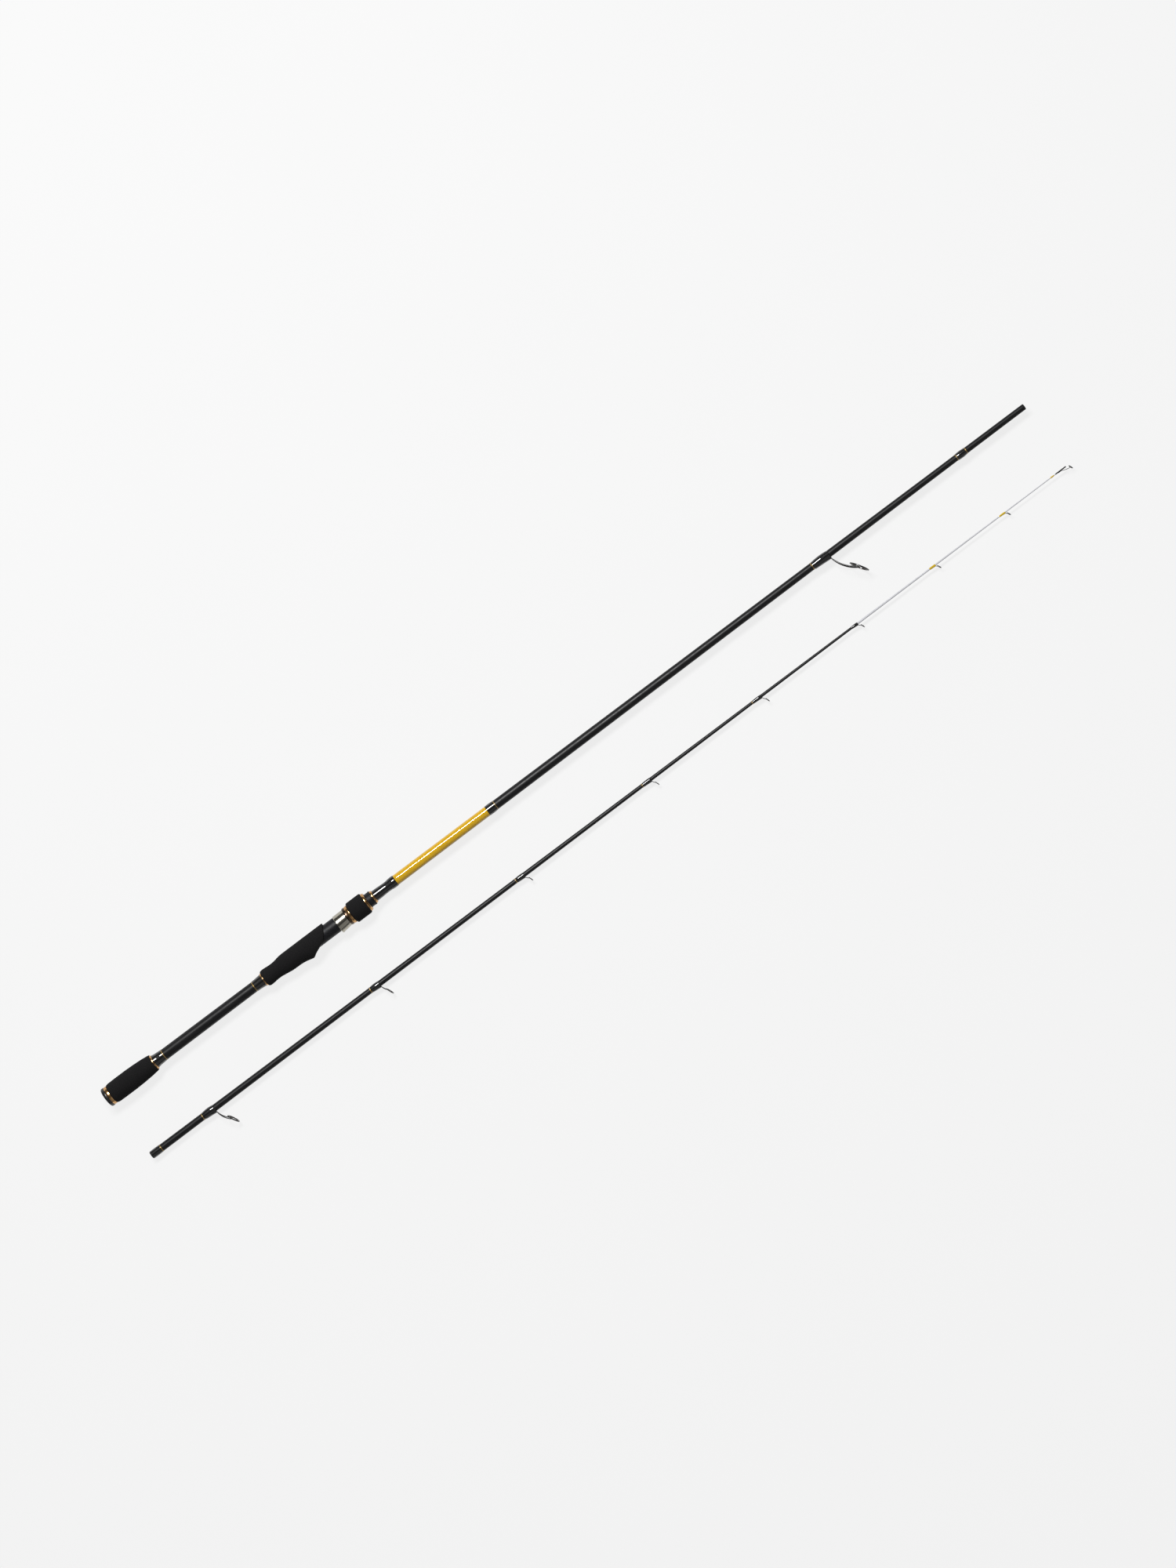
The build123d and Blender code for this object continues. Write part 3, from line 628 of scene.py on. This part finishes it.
def build_main_grip():
    """Foam grip with its trigger, slanted front edge and the channel for the reel foot."""
    palm, reel, wide = [smooth_line([(row[0], row[k]) for row in GRIP_STATIONS], 4) for k in (1, 2, 3)]
    front = smooth_line(GRIP_FRONT, 6)
    start = GRIP_STATIONS[0][0]
    channel = offset_circle(*GRIP_CHANNEL)
    blank_bore = offset_circle(0.0, GRIP_BORE)
    pocket_mouth = span("fixed_hood")[1].x

    def outside(x, turn):
        a, b, half = lookup(palm, x), lookup(reel, x), lookup(wide, x)
        centre, half_y = (a - b) / 2, (a + b) / 2
        c, s = math.cos(turn), math.sin(turn)
        p = (c / half_y)**2 + (s / half)**2
        q = -2 * centre * c / half_y**2
        return (-q + math.sqrt(q * q - 4 * p * ((centre / half_y)**2 - 1))) / (2 * p)

    def front_x(turn, radius):
        return lookup(front, radius * math.cos(turn))

    def edge_x(turn):
        low, high = 270.0, 304.0
        for _ in range(40):
            middle = (low + high) / 2
            if middle < front_x(turn, outside(middle, turn)):
                low = middle
            else:
                high = middle
        return low

    ends = {turn: edge_x(turn) for turn in turns()}
    inner_shape = widest(offset_circle(0.0, SEAT_RADIUS - 0.05), channel)

    def inner_radius(turn):
        return min(inner_shape(turn), outside(ends[turn], turn) - 0.6)

    rings = [polar_ring(start, blank_bore)]
    shares = [0, 0.004, 0.014, 0.04] + [0.04 + 0.95 * k / 44 for k in range(1, 45)]
    for share in shares:
        ring = []
        for turn in turns():
            x = start + (ends[turn] - start) * share
            radius = outside(x, turn)
            ring.append((x, radius * math.cos(turn), radius * math.sin(turn)))
        rings.append(ring)
    for step, soft in [(0.06, 0.55), (0.18, 0.18), (0.32, 0.04), (0.5, 0.0), (0.7, 0.0), (0.88, 0.0),
                       (1.0, 0.1)]:
        ring = []
        for turn in turns():
            outer, inner = outside(ends[turn], turn), inner_radius(turn)
            radius = outer + (inner - outer) * step
            x = front_x(turn, radius) - soft
            ring.append((x, radius * math.cos(turn), radius * math.sin(turn)))
        rings.append(ring)
    for step in (0.4, 1.0):
        ring = []
        for turn in turns():
            radius = inner_radius(turn)
            x = front_x(turn, radius)
            x += (min(x, pocket_mouth) - x) * step
            ring.append((x, radius * math.cos(turn), radius * math.sin(turn)))
        rings.append(ring)
    rings.append(polar_ring(pocket_mouth - 0.2, offset_circle(0.0, SEAT_RADIUS - 0.3)))
    rings.append(polar_ring(start + 8, blank_bore))
    make_piece("main_grip_foam", *skin(rings), "butt_section", "eva_foam", ["main_grip"], sharp=60)


# ---- line guides ----------------------------------------------------------
# Per guide: lean, frame radius, wire radius, leg angle, bow, top and foot-side height of its wrap.
STRIPPER = ("stripper", 32.0, 11.4, 0.68, 90, 3.4, 0.95, 1.95)
TIP_GUIDES = [
    ("guide_1", 26.6, 7.45, 0.50, 85, 2.0, 0.90, 1.75), ("guide_2", 21.8, 5.00, 0.45, 50, 0.5, 0.60, 1.30),
    ("guide_3", 19.0, 2.95, 0.34, 52, 0.3, 0.45, 1.00), ("guide_4", 20.0, 2.85, 0.34, 52, 0.3, 0.45, 1.00),
    ("guide_5", 18.0, 2.80, 0.34, 52, 0.3, 0.42, 0.95), ("guide_6", 19.0, 2.60, 0.32, 50, 0.2, 0.36, 0.90),
    ("guide_7", 22.0, 2.60, 0.30, 60, 0.1, 0.26, 0.75), ("guide_8", 22.0, 2.50, 0.30, 60, 0.1, 0.26, 0.70)]
FOOT_SETBACK = 1.5


def swept(path, radii, sides=18):
    """Points and faces of a wire along a path of points, closed with flat end caps."""
    path = [Vector(point) for point in path]
    last = len(path) - 1
    tangents = [(path[min(i + 1, last)] - path[max(i - 1, 0)]).normalized() for i in range(len(path))]
    normal = tangents[0].orthogonal().normalized()
    rings = []
    for point, tangent, radius in zip(path, tangents, radii):
        normal = (normal - tangent * normal.dot(tangent)).normalized()
        other = tangent.cross(normal)
        rings.append([tuple(point + (normal * math.cos(2 * math.pi * k / sides)
                                     + other * math.sin(2 * math.pi * k / sides)) * radius)
                      for k in range(sides)])
    points, faces = skin(rings, closed=False)
    faces.append(tuple(range(sides))[::-1])
    faces.append(tuple(range(len(points) - sides, len(points))))
    return points, faces


def turned_about(centre, away, axis, outline):
    """A lathed ring about a guide's own axis, from (distance along it, radius) points."""
    side = axis.cross(away)
    rings = []
    for along, radius in outline:
        rings.append([tuple(centre + axis * along + (away * math.cos(turn) + side * math.sin(turn)) * radius)
                      for turn in turns()])
    return skin(rings)


def guide_axes(lean):
    tilt = math.radians(lean)
    away = Vector((math.sin(tilt), -math.cos(tilt), 0))
    return away, Vector((math.cos(tilt), math.sin(tilt), 0))


def bezier(start, control, end, steps):
    return [start * (1 - t)**2 + control * 2 * t * (1 - t) + end * t**2
            for t in (step / steps for step in range(1, steps + 1))]


def build_ring_and_band(name, body, lean, radius, ring_node):
    """The ceramic ring as a piece, and its metal band as a mesh."""
    low, high = span(ring_node)
    centre = (low + high) / 2
    away, axis = guide_axes(lean)
    outer = (high.z - low.z) / 2
    inner = outer - (0.30 + 0.09 * radius)
    half = (0.75 + 0.09 * radius) / 2
    rounding = 0.46 * (outer - inner)
    section = soften([(-half, inner), (half, inner), (half, outer), (-half, outer)], rounding, 6)
    insert = turned_about(centre, away, axis, section)
    make_piece(name + "_insert", *insert, body, "ring_ceramic", [ring_node])
    half = (0.55 + 0.06 * radius) / 2
    section = soften([(-half, outer - 0.05), (half, outer - 0.05), (half, radius), (-half, radius)], 0.16, 3)
    return centre, away, (outer + radius) / 2, turned_about(centre, away, axis, section)


def build_guide(guide, axis, body):
    name, lean, radius, wire, leg_angle, bow, top_height, foot_height = guide
    y, z = axis
    centre, away, middle, band = build_ring_and_band(name, body, lean, radius, name + "_ring")
    low, high = span(name + "_wrap")
    rear, front = low.x, high.x
    surface = wrap_surface(name, axis)
    depth = surface(front) + 0.02 + 1.2 * wire
    spread = 0.62 * wire
    legs = []
    for side in (1, -1):
        turn = math.radians(leg_angle)
        end = centre - away * (middle * math.cos(turn)) + Vector((0, 0, side * middle * math.sin(turn)))
        root = Vector((front - wire, y - depth, z + side * spread))
        heel = Vector((rear + FOOT_SETBACK, y - surface(rear) - 0.45 * wire, z + side * spread))
        bend = (root + end) / 2 + Vector((-bow * 0.8, -bow * 0.6, 0))
        run = [heel + (root - heel) * (k / 6) for k in range(7)]
        run += bezier(root, bend * 2 - (root + end) / 2, end, 22)
        radii = [wire * (0.45 + 0.55 * min(1.0, k / 5)) for k in range(len(run))]
        legs.append(swept(run, radii))
    make_piece(name + "_wires", *join([band, *legs]), body, "guide_frame_black", [name + "_frame"], sharp=60)
    build_guide_wrap(guide, axis, body, surface, rear, front)


def wrap_surface(name, axis):
    """Radius of the blank under a guide's wrap."""
    blank = ["tip_ferrule", "tip_blank"]
    if name == "stripper":
        blank = ["butt_blank"]
    if name in ("guide_7", "guide_8"):
        blank = ["solid_tip"]
    outline = cad_outlines(blank, axis)[0]
    return lambda x: lookup(outline, x)


def build_guide_wrap(guide, axis, body, surface, rear, front):
    """Thread and coat over the foot: a swell all round, and a ridge over the foot that ends bluntly."""
    name, wire, top_height, foot_height = guide[0], guide[3], guide[6], guide[7]
    y, z = axis
    slot = "yellow_thread" if name in ("guide_7", "guide_8") else "black_wrap"
    rings = []
    steps = 30
    for step in range(steps + 1):
        share = step / steps
        x = rear + (front - rear) * share
        swell = 0.12 + (top_height - 0.12) * math.sin(math.pi * share**1.15)**0.8 if 0 < share < 1 else 0.06
        ridge = (0.30 + 0.70 * share) * foot_height * min(1.0, share / 0.10)
        ridge *= 1.0 if share < 0.97 else 0.82
        base = surface(x)
        width = math.atan2(2.1 * wire, base + 0.5 * wire) + 0.15
        ring = []
        for turn in turns():
            off = abs(math.pi - turn) / (1.55 * width)
            weight = math.exp(-off**2.6)
            height = swell + max(0.0, ridge - swell) * weight
            ring.append((x, y + (base + height) * math.cos(turn), z + (base + height) * math.sin(turn)))
        rings.append(ring)
    for x in (front, rear):
        rings.append(circle_points(x, surface(x) - 0.1, axis))
    make_piece(name + "_binding", *skin(rings), body, slot, [name + "_wrap"], sharp=55)


# The tip-top: lean, frame radius, wire radius and leg angle; then its tube.
TIP_TOP = (20.0, 2.75, 0.28, 95)
TUBE_LENGTH = 14.5
TUBE_BORE = 0.50
TUBE_RADIUS = 0.72
TUBE_BORE_END = 13.3


def build_tip_top():
    """Tube on the end of the tip, two wires and the last ring."""
    body = "tip_section"
    lean, radius, wire, leg_angle = TIP_TOP
    y, z = TIP_AXIS
    centre, away, middle, band = build_ring_and_band("tip_top", body, lean, radius, "tip_top_ring")
    start = span("tip_top_frame")[0].x
    tube_end = start + TUBE_LENGTH
    outline = [(start, TUBE_BORE), (start, TUBE_RADIUS), (tube_end - 0.5, TUBE_RADIUS),
               (tube_end - 0.12, 0.5), (tube_end, 0.0), (start + TUBE_BORE_END, 0.0),
               (start + TUBE_BORE_END, TUBE_BORE)]
    tube = lathe(soften(outline, 0.08), TIP_AXIS)
    legs = []
    for side in (1, -1):
        turn = math.radians(leg_angle)
        end = centre - away * (middle * math.cos(turn)) + Vector((0, 0, side * middle * math.sin(turn)))
        root = Vector((start + 8.0, y - 0.82, z + side * 0.25))
        heel = root - Vector((4.5, 0, 0))
        bend = (root + end) / 2 + Vector((-0.48, -0.36, 0))
        run = [heel, heel + Vector((1.5, 0, 0)), heel + Vector((3.0, 0, 0)), root]
        run += bezier(root, bend * 2 - (root + end) / 2, end, 16)
        legs.append(swept(run, [wire] * len(run), 14))
    wires = join([tube, band, *legs])
    make_piece("tip_top_wires", *wires, body, "guide_frame_black", ["tip_top_frame"], sharp=60)


# ---- floor, lights, camera ------------------------------------------------
ROD_ANGLE = math.radians(37.0)      # the sections' angle in the picture
CAMERA_HEIGHT = 3354.0              # above the sections
SCENE_HEIGHT = 1720.0               # shown from top to bottom at the sections' height
SENSOR = 36.0


def aim_point():
    low, high = size_before
    return Vector(((low[0] + high[0]) / 2 / MM - 2.6, TIP_AXIS[0] / 2 - 2.7, 0.0))


def add_floor():
    low = size_before[0]
    finish = Finish("floor_lightbox", (0.08, 0.08, 0.08), 0.9)
    finish.colour(finish.noise(0.004, 2.0), (0.079, 0.079, 0.079), (0.081, 0.081, 0.081))
    finish.relief(finish.noise(1.5, 3.0), 0.01)
    finish.put("Specular IOR Level", 0.1)
    finish.put("Emission Color", (1.0, 1.0, 1.0, 1.0))
    finish.put("Emission Strength", 0.82)
    finish.material.cycles.emission_sampling = "NONE"
    bpy.ops.mesh.primitive_plane_add(size=400, location=(0.6, 0, low[2] - 0.0002))
    floor = bpy.context.active_object
    floor.name = "floor"
    floor.data.materials.append(finish.material)


def add_softbox(name, place, size, power):
    light = bpy.data.lights.new(name, "AREA")
    light.shape = "RECTANGLE"
    light.size, light.size_y = size
    light.energy = power
    lamp = bpy.data.objects.new(name, light)
    lamp.location = Vector(place) * MM
    towards = aim_point() * MM - lamp.location
    lamp.rotation_euler = towards.to_track_quat("-Z", "X").to_euler()
    bpy.context.scene.collection.objects.link(lamp)


def add_lights():
    aim = aim_point()
    add_softbox("key_softbox", (aim.x, aim.y + 1650, 2600), (0.62, 1.25), 125)
    add_softbox("fill_softbox", (aim.x, aim.y - 2600, 2300), (3.2, 4.4), 12)
    world = bpy.data.worlds.new("studio")
    world.use_nodes = True
    background = world.node_tree.nodes["Background"]
    background.inputs["Color"].default_value = (0.97, 0.98, 1.0, 1.0)
    background.inputs["Strength"].default_value = 0.06
    bpy.context.scene.world = world


def add_camera():
    aim = aim_point()
    data = bpy.data.cameras.new("camera")
    data.sensor_width = SENSOR
    data.lens = SENSOR * CAMERA_HEIGHT / SCENE_HEIGHT
    camera = bpy.data.objects.new("camera", data)
    camera.location = Vector((aim.x, aim.y, CAMERA_HEIGHT)) * MM
    camera.rotation_euler = (0, 0, -ROD_ANGLE)
    bpy.context.scene.collection.objects.link(camera)
    bpy.context.scene.camera = camera


finish_nodes()
build_round_pieces()
build_seat_tube()
build_sliding_hood()
build_pocket_lining()
build_main_grip()
build_guide(STRIPPER, BUTT_AXIS, "butt_section")
for tip_guide in TIP_GUIDES:
    build_guide(tip_guide, TIP_AXIS, "tip_section")
build_tip_top()
add_floor()
add_lights()
add_camera()
bpy.context.scene.view_settings.view_transform = "Standard"
